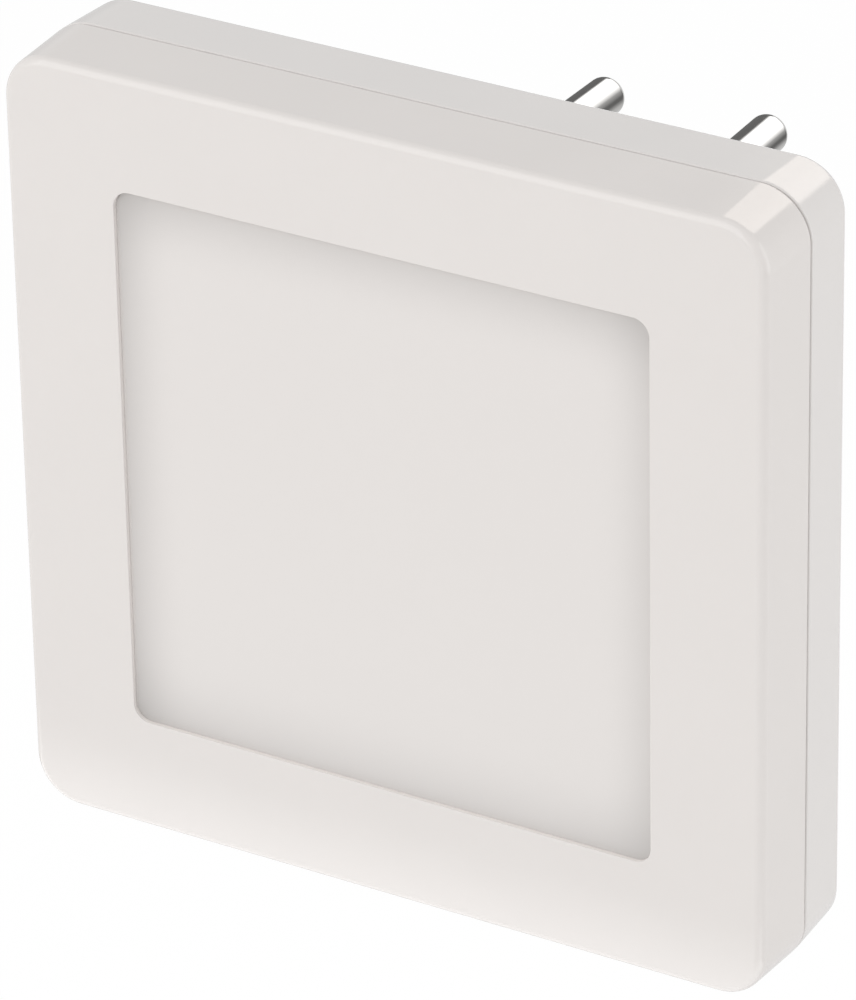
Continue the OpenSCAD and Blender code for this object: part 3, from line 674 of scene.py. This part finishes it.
diffuser = made("diffuser_panel", panel)
finished(diffuser, opal_plastic, "diffuser")


# ---------- plug ----------

def plug_ring(inset, w):
    return ring(PLUG_HALF[0] - inset, PLUG_HALF[1] - inset, PLUG_R - inset, w, OPENING_SHIFT)


def plug_shell(mesh):
    side = math.degrees(math.atan(PLUG_TAPER / FLOOR_W))
    edge = arc(PLUG_TAPER + PLUG_EDGE_R, PLUG_EDGE_R, PLUG_EDGE_R, -90, -side)
    rings = [plug_ring(inset, w) for inset, w in edge]
    rings.append(plug_ring(0, FLOOR_W))
    for w in (FLOOR_W, PLUG_TOP_W):
        rings.append(ring(PLUG_HALF[0] + PLUG_FLANGE, PLUG_HALF[1] + PLUG_FLANGE, PLUG_R, w,
                          OPENING_SHIFT))
    rings.append(plug_ring(PLUG_WALL, PLUG_TOP_W))
    rings.append(plug_ring(PLUG_WALL + PLUG_TAPER, PLUG_END_T))
    loft(mesh, rings)


# The clamp screw's boss, and the guides that hold the driver board's two edges
BOSS_R = 2.5 * MM
BOSS_FOOT_W = 2.8 * MM
BOSS_H = 1.0 * MM
BOSS_PILOT_W = 1.2 * MM
BOSS_PILOT_LEN = 3.5 * MM
DRIVER_BACK_V = -3.4 * MM
DRIVER_W = 8.6 * MM
DRIVER_T = 1.0 * MM
GUIDE_T = 1.2 * MM
GUIDE_U = 12.9 * MM
GUIDE_WIDTH = 3.4 * MM
GUIDE_GRIP = 0.8 * MM
GUIDE_LEN = 12 * MM


def plug_inside(mesh):
    turned(mesh, [(BOSS_R, 0), (BOSS_R, BOSS_H)], Vector((0, -BOSS_FOOT_W, 0)), ROOMWARD, ROUND)
    back = DRIVER_BACK_V - CENTRE_Z
    front = back + DRIVER_T
    low, high = back - GUIDE_T, front + GUIDE_T
    foot = DRIVER_W - GUIDE_T
    # Two walls, the groove's bottom between them, and the stop below the board
    parts = ((GUIDE_U, low, back, GUIDE_LEN), (GUIDE_U, front, high, GUIDE_LEN),
             (GUIDE_U + GUIDE_GRIP, low, high, GUIDE_LEN), (GUIDE_U, low, high, GUIDE_T))
    for side in (-1, 1):
        for start, v0, v1, length in parts:
            u0, u1 = sorted((side * start, side * (GUIDE_U + GUIDE_WIDTH)))
            block(mesh, (u0, v0, foot), (u1, v1, foot + length))


def pin_axis(side):
    """Where a pin's axis meets the plug's face, and its direction towards the socket."""
    return (Vector((side * PIN_PITCH / 2, 0, 0)),
            Vector((-side * math.sin(PIN_TILT), math.cos(PIN_TILT), 0)))


def plug_holes(mesh):
    """The stepped seats of the pins, slightly flared at the face, and the clamp screw's pilot hole."""
    wide, narrow = SHOULDER_R + SEAT_PLAY, COLLAR_R + SEAT_PLAY
    flared = narrow + 2 * SEAT_FLARE
    profile = [(wide, -SHOULDER_DEPTH - 0.2 * MM), (wide, -COLLAR_DEPTH), (narrow, -COLLAR_DEPTH),
               (narrow, -SEAT_FLARE), (flared, SEAT_FLARE), (flared, MM)]
    for side in (-1, 1):
        turned(mesh, profile, *pin_axis(side), LARGE_ROUND)
    turned(mesh, [(PILOT_R, 0), (PILOT_R, BOSS_PILOT_LEN)], Vector((0, -BOSS_PILOT_W, 0)), ROOMWARD,
           SMALL_ROUND)


plug_body = made("plug_body_shell", plug_shell)
combined(plug_body, "UNION", plug_inside)
combined(plug_body, "DIFFERENCE", plug_holes)
finished(plug_body, rear_plastic, "plug_housing")


def pin_profile():
    """A pin from its rounded tip over its collar, shoulder and tail to its riveted end."""
    straight = PIN_LEN - PIN_TIP
    profile = [(0, PIN_LEN)]
    for step in range(1, TIP_STEPS + 1):
        angle = math.radians(90 - 90 * step / TIP_STEPS)
        profile.append((PIN_R * math.cos(angle), straight + PIN_TIP * math.sin(angle)))
    profile += [(PIN_R, PIN_FOOT_R), (PIN_R + PIN_FOOT_R, 0), (COLLAR_R - COLLAR_BEVEL, 0),
                (COLLAR_R, -COLLAR_BEVEL), (COLLAR_R, -COLLAR_DEPTH), (SHOULDER_R, -COLLAR_DEPTH),
                (SHOULDER_R, -SHOULDER_DEPTH), (TAIL_R, -SHOULDER_DEPTH), (TAIL_R, -RIVET_DEPTH),
                (RIVET_R, -RIVET_DEPTH)]
    # The rivet's dome: how much narrower and deeper than its rim
    for narrower, deeper in ((0.1 * MM, 0.35 * MM), (0.4 * MM, 0.6 * MM), (RIVET_R, 0.7 * MM)):
        profile.append((RIVET_R - narrower, -RIVET_DEPTH - deeper))
    return profile


def pin_builder(side):
    def build(mesh):
        turned(mesh, pin_profile(), *pin_axis(side), PIN_ROUND)
    return build


for side, label in ((-1, "left"), (1, "right")):
    pin = made(f"plug_pin_{label}_turned", pin_builder(side))
    finished(pin, nickel, f"plug_pin_{label}", sharp=40)


# ---------- screws ----------

def screw_ring(radius_at, height):
    """Points round a screw's axis. radius_at gives the radius for a share of the turn."""
    points = []
    for k in range(SMALL_ROUND):
        share = k / SMALL_ROUND
        angle = 2 * math.pi * share
        points.append(Vector((radius_at(share) * math.cos(angle), radius_at(share) * math.sin(angle),
                              height)))
    return points


def head_rings():
    """A pan head, from near the middle of its top to its underside."""
    rings = []
    for step in range(1, 9):
        angle = math.radians(9 * step)
        radius = HEAD_R * math.sin(angle)
        rings.append(screw_ring(lambda share: radius, -HEAD_H * math.cos(angle) ** 0.6))
    for height in (-0.25 * HEAD_H, 0):
        rings.append(screw_ring(lambda share: HEAD_R, height))
    return rings


def thread_rings(length):
    """A threaded shank from under the head to its tapered tip. The thread fades out at both ends."""
    count = int(length / THREAD_PITCH * THREAD_STEPS)
    rings = []
    for k in range(count + 1):
        height = length * k / count
        left = length - height
        fade = max(0.0, min(1.0, height / THREAD_FADE_IN, left / THREAD_FADE_OUT))
        taper = min(1.0, TIP_SHARE + left / TIP_LEN)

        def radius_at(share):
            phase = (height / THREAD_PITCH - share) % 1.0
            crest = max(0.0, 1 - abs(phase - 0.5) * 4)
            return (THREAD_R - THREAD_DEPTH + THREAD_DEPTH * crest * fade) * taper

        rings.append(screw_ring(radius_at, height))
    return rings


def screw_builder(places, away, length):
    """Pan-head screws. places are the points under their heads, away is the way they are driven."""
    turn = away.to_track_quat("Z", "X").to_matrix()

    def build(mesh):
        for foot in places:
            loft(mesh, [[foot + turn @ point for point in points]
                        for points in head_rings() + thread_rings(length)])
    return build


# The cross recess above the head and at its bottom: height, half length and half width of a slot
CROSS_ENDS = ((-HEAD_H - 0.2 * MM, 1.25 * MM, 0.36 * MM), (-0.35 * MM, 0.55 * MM, 0.2 * MM))


def cross_builder(places, away):
    """The cross recess of each head: two tapering slots."""
    turn = away.to_track_quat("Z", "X").to_matrix()

    def build(mesh):
        for foot in places:
            for spin in (45, 135):
                quarter = Matrix.Rotation(math.radians(spin), 3, "Z")
                loft(mesh, [[foot + turn @ quarter @ Vector((su * long, sv * wide, height))
                             for su, sv in ((-1, -1), (1, -1), (1, 1), (-1, 1))]
                            for height, long, wide in CROSS_ENDS])
    return build


def screws(name, places, away, length, node):
    obj = made(name, screw_builder(places, away, length))
    combined(obj, "DIFFERENCE", cross_builder(places, away))
    finished(obj, steel, node)


screws("housing_screw_set", [at(u, v, BACK_W + RECESS) for u, v in corners(POST)], ROOMWARD,
       HOUSING_SCREW_LEN, "housing_screws")
screws("clamp_screw", [Vector((0, clamp_end, 0))], -ROOMWARD, CLAMP_SCREW_LEN, "retainer_screw")


# ---------- sealed inner parts, which keep their CAD meshes ----------

def dress(material, *names):
    for name in names:
        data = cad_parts[name].data
        data.materials.clear()
        data.materials.append(material)


dress(moulded("clamp_plastic", (0.62, 0.62, 0.61), 0.5), "pin_retainer")
dress(brass, "contact_tab_left", "contact_tab_right")
dress(board("board_green", (0.03, 0.2, 0.08), (0.015, 0.12, 0.05)), "driver_board")
dress(board("board_white", (0.84, 0.84, 0.82), (0.76, 0.76, 0.74)), "led_board")
dress(moulded("film_yellow", (0.72, 0.48, 0.07), 0.35), "film_capacitor")
dress(moulded("can_sleeve", (0.02, 0.03, 0.1), 0.28), "electrolytic_capacitor")
dress(moulded("black_resin", (0.018, 0.018, 0.018), 0.5, vary=0.15),
      "bridge_rectifier", "zener_diode", "bleed_resistors", "led_board_resistors")
dress(moulded("resistor_body", (0.5, 0.38, 0.24), 0.45), "fusible_resistor")
dress(moulded("led_package", (0.86, 0.78, 0.36), 0.4), "leds")
dress(moulded("lead_red", (0.45, 0.02, 0.02), 0.45), "lead_positive")
dress(moulded("lead_black", (0.02, 0.02, 0.02), 0.45, vary=0.15), "lead_negative")
dress(moulded("tray_white", (0.85, 0.85, 0.84), 0.25), "reflector_tray")


# ---------- studio ----------

# The point that the camera looks at, its place round that point, and its lens in millimetres
CAMERA_AIM = Vector((3.221, -38.015, -15.128)) * MM
CAMERA_AZIMUTH = math.radians(30.816)
CAMERA_ELEVATION = math.radians(28.356)
CAMERA_ROLL = math.radians(-1.090)
CAMERA_DISTANCE = 657 * MM
CAMERA_LENS = 258.05
CAMERA_SENSOR = 36


def make_camera():
    data = bpy.data.cameras.new("camera")
    data.lens = CAMERA_LENS
    data.sensor_width = CAMERA_SENSOR
    data.clip_start = 10 * MM
    camera = bpy.data.objects.new("camera", data)
    bpy.context.scene.collection.objects.link(camera)
    a, e = CAMERA_AZIMUTH, CAMERA_ELEVATION
    back = Vector((math.sin(a) * math.cos(e), -math.cos(a) * math.cos(e), math.sin(e)))
    level = Vector((math.cos(a), math.sin(a), 0))
    upward = back.cross(level)
    right = level * math.cos(CAMERA_ROLL) + upward * math.sin(CAMERA_ROLL)
    up = back.cross(right)
    turn = Matrix((right, up, back)).transposed().to_4x4()
    camera.matrix_world = Matrix.Translation(CAMERA_AIM + back * CAMERA_DISTANCE) @ turn
    bpy.context.scene.camera = camera


def seen_rays(nodes, links):
    """1 for rays that show a surface to the camera, in a mirror or through glass, 0 for light."""
    path = add(nodes, "ShaderNodeLightPath")
    total = path.outputs["Is Camera Ray"]
    for name in ("Is Glossy Ray", "Is Transmission Ray"):
        total = maths(nodes, links, "MAXIMUM", total, path.outputs[name])
    return total


WHITE = 1.0
WORLD_LIGHT = 0.635


def make_world():
    """A white room, which lights the object less than it shows, because lamps do the rest."""
    world = bpy.data.worlds.new("studio")
    bpy.context.scene.world = world
    world.use_nodes = True
    nodes, links = world.node_tree.nodes, world.node_tree.links
    shader = nodes["Background"]
    shader.inputs["Color"].default_value = (1, 1, 1, 1)
    level = eased(nodes, links, seen_rays(nodes, links), 0, 1, WORLD_LIGHT, WHITE, "LINEAR")
    links.new(level, shader.inputs["Strength"])


def stage_mesh(name, mesh, material):
    """A mesh that isn't part of the object: the floor or one of the cards."""
    data = bpy.data.meshes.new(name)
    mesh.to_mesh(data)
    mesh.free()
    data.materials.append(material)
    obj = bpy.data.objects.new(name, data)
    bpy.context.scene.collection.objects.link(obj)
    return obj


FLOOR_DROP = 0.3
FLOOR_HALF = 8
FLOOR_GREY = (0.9, 0.9, 0.9, 1)
FLOOR_ROUGHNESS = 0.9
FLOOR_GLOW = 1.03
# Where it is seen, this much of the floor's look is its glow. The rest takes light and shadow.
FLOOR_GLOW_SHARE = 0.9


def make_floor():
    material, nodes, links, shader = new_material("studio_floor")
    shader.inputs["Base Color"].default_value = FLOOR_GREY
    shader.inputs["Roughness"].default_value = FLOOR_ROUGHNESS
    glow = add(nodes, "ShaderNodeEmission")
    glow.inputs["Strength"].default_value = FLOOR_GLOW
    mixed = add(nodes, "ShaderNodeMixShader")
    share = maths(nodes, links, "MULTIPLY", seen_rays(nodes, links), FLOOR_GLOW_SHARE)
    links.new(share, mixed.inputs["Fac"])
    links.new(shader.outputs[0], mixed.inputs[1])
    links.new(glow.outputs[0], mixed.inputs[2])
    links.new(mixed.outputs[0], nodes["Material Output"].inputs["Surface"])
    mesh = bmesh.new()
    bmesh.ops.create_grid(mesh, x_segments=4, y_segments=4, size=FLOOR_HALF)
    floor = stage_mesh("floor", mesh, material)
    floor.location.z = cad_box[0][2] - FLOOR_DROP


def only_mirrored(obj):
    """Shows a card in reflections alone, so that it isn't seen itself and casts no shadow."""
    for rays in ("camera", "diffuse", "transmission", "volume_scatter", "shadow"):
        setattr(obj, f"visible_{rays}", False)


CARD_STEPS = 60


def bent_card(name, stops, radius, reach, origin, x_axis, z_axis):
    """Part of a tube that only mirrors see.

    stops holds pairs of degrees from the x axis and brightness, reach holds the tube's ends on z.
    """
    first, last = stops[0][0], stops[-1][0]
    middle = (first + last) / 2
    peak = max(level for turn, level in stops)
    material, nodes, links = new_material(name)[:3]
    place = add(nodes, "ShaderNodeTexCoord")
    angle = add(nodes, "ShaderNodeTexGradient", gradient_type="RADIAL")
    links.new(place.outputs["Object"], angle.inputs["Vector"])
    ramp = add(nodes, "ShaderNodeValToRGB")
    links.new(angle.outputs["Fac"], ramp.inputs["Fac"])
    elements = ramp.color_ramp.elements
    while len(elements) < len(stops):
        elements.new(0.5)
    for element, (turn, level) in zip(elements, stops):
        element.position = 0.5 + (turn - middle) / 360
        element.color = (level / peak, level / peak, level / peak, 1)
    glow = add(nodes, "ShaderNodeEmission")
    glow.inputs["Strength"].default_value = peak
    links.new(ramp.outputs["Color"], glow.inputs["Color"])
    links.new(glow.outputs[0], nodes["Material Output"].inputs["Surface"])
    mesh = bmesh.new()
    turns = [math.radians((last - first) * (k / CARD_STEPS - 0.5)) for k in range(CARD_STEPS + 1)]
    low, high = ([mesh.verts.new((radius * math.cos(turn), radius * math.sin(turn), z)) for turn in turns]
                 for z in reach)
    for k in range(CARD_STEPS):
        mesh.faces.new((low[k], low[k + 1], high[k + 1], high[k]))
    card = stage_mesh(name, mesh, material)
    frame_of_card = Matrix((x_axis, z_axis.cross(x_axis), z_axis)).transposed().to_4x4()
    card.matrix_world = (Matrix.Translation(origin) @ frame_of_card
                         @ Matrix.Rotation(math.radians(middle), 4, "Z"))
    only_mirrored(card)


# The card round each pin, by the angle from the right, anticlockwise as seen from the room.
# Both cards are the same but for the angle of their dark stripe.
TENT_R = 8.5 * MM
TENT_REACH = (-40 * MM, -0.3 * MM)
TENT_SHADE = 0.17
TENT_GREY = 0.8
TENT_BRIGHT = 2.0
LEFT_STRIPE = -12
RIGHT_STRIPE = -25


def tent_stops(stripe):
    """Grey from below, a dark stripe, a soft rise to the bright strip, then the dark side."""
    return ((-120, TENT_GREY), (stripe - 35, 0.6), (stripe - 6, TENT_SHADE), (stripe + 6, TENT_SHADE),
            (stripe + 30, 0.5), (stripe + 60, TENT_BRIGHT), (108, TENT_BRIGHT), (122, TENT_SHADE),
            (215, TENT_SHADE))


def make_pin_tents():
    for side, stripe in ((-1, LEFT_STRIPE), (1, RIGHT_STRIPE)):
        bent_card("pin_tent", tent_stops(stripe), TENT_R, TENT_REACH,
                  Vector((side * PIN_PITCH / 2, 0, 0)), Vector((1, 0, 0)), ROOMWARD)


FOOT_R = 12 * MM
FOOT_REACH = (-60 * MM, 60 * MM)
# By the angle from the way of the room, positive upwards: a bright strip with soft edges
FOOT_STOPS = ((-132, 1.0), (-118, 1.15), (-98, 1.9), (-75, 3.0), (-32, 3.05), (-16, 1.95), (-2, 1.1),
              (6, 1.0))


def make_foot_strip():
    """The bright strip below the lower front edge, which the foot of the face mirrors."""
    bent_card("foot_strip", FOOT_STOPS, FOOT_R, FOOT_REACH, Vector((0, -FACE_W, CENTRE_Z - HALF)),
              ROOMWARD, Vector((-1, 0, 0)))


def aimed(obj, direction, distance):
    """Puts a lamp or card in the given direction from the middle of the face, turned towards it."""
    towards = Vector(direction).normalized()
    turn = towards.to_track_quat("Z", "Y").to_matrix().to_4x4()
    obj.matrix_world = Matrix.Translation(Vector((0, -FACE_W, CENTRE_Z)) + towards * distance) @ turn


def lamp(name, direction, distance, size, level):
    """A soft lamp, as bright as level times a white card."""
    data = bpy.data.lights.new(name, "AREA")
    data.shape = "RECTANGLE"
    data.size, data.size_y = size
    data.energy = level * math.pi * size[0] * size[1]
    light = bpy.data.objects.new(name, data)
    aimed(light, direction, distance)
    bpy.context.scene.collection.objects.link(light)


def softbox(name, direction, distance, size, level, fade, lean=0.0, colour=(1, 1, 1)):
    """A card that only mirrors see, brighter or darker than the white room.

    fade holds the widths of its soft edges, as seen from the housing: left, right, low and high.
    lean is how much brighter its right edge is than its middle, as a share of its level.
    """
    material, nodes, links = new_material(name)[:3]
    place = add(nodes, "ShaderNodeTexCoord")
    split = add(nodes, "ShaderNodeSeparateXYZ")
    links.new(place.outputs["Object"], split.inputs[0])
    strength = None
    edges = (("X", size[0] / 2, -fade[0]), ("X", -size[0] / 2, fade[1]),
             ("Y", -size[1] / 2, fade[2]), ("Y", size[1] / 2, -fade[3]))
    for axis, border, width in edges:
        edge = eased(nodes, links, split.outputs[axis], border, border + width, 0, 1, "SMOOTHSTEP")
        strength = times(nodes, links, strength, edge)
    slope = -2 * lean * level / size[0]
    inside = maths(nodes, links, "MULTIPLY_ADD", split.outputs["X"], slope, level - WHITE)
    # At its borders the card is as bright as the white room behind it, but for its own colour
    lift = maths(nodes, links, "MULTIPLY_ADD", strength, inside, WHITE)
    glow = add(nodes, "ShaderNodeEmission")
    glow.inputs["Color"].default_value = (*colour, 1)
    links.new(lift, glow.inputs["Strength"])
    links.new(glow.outputs[0], nodes["Material Output"].inputs["Surface"])
    mesh = bmesh.new()
    bmesh.ops.create_grid(mesh, x_segments=1, y_segments=1, size=0.5)
    bmesh.ops.scale(mesh, vec=(*size, 1), verts=mesh.verts)
    card = stage_mesh(name, mesh, material)
    aimed(card, direction, distance)
    only_mirrored(card)


make_camera()
make_world()
make_floor()
make_pin_tents()
make_foot_strip()
lamp("key_lamp", direction=(-0.30, -0.845, 0.44), distance=0.9, size=(1.0, 1.0), level=1.272)
lamp("side_lamp", direction=(0.93, 0.35, 0.13), distance=0.9, size=(0.8, 0.8), level=1.225)
# The light patch on the rounded upper right corner
softbox("corner_softbox", direction=(0.028, 0.772, 0.635), distance=0.92, size=(0.81, 0.7), level=3.35,
        fade=(0.02, 0.04, 0.03, 0.05), lean=0.2, colour=(1, 0.94, 0.89))
# The slightly darker rounded edge between the face and the right side
softbox("dark_flag", direction=(0.755, -0.45, -0.475), distance=0.9, size=(0.6, 0.6), level=0.1,
        fade=(0.1, 0.1, 0.1, 0.1))
# Keeps the far edges, which mirror what is behind them, from melting into the white room
softbox("back_flag", direction=(-0.04, 0.33, -0.085), distance=0.343, size=(0.72, 0.52), level=0.77,
        fade=(0.06, 0.08, 0.03, 0.12), lean=0.1)

bpy.context.scene.view_settings.view_transform = "Standard"
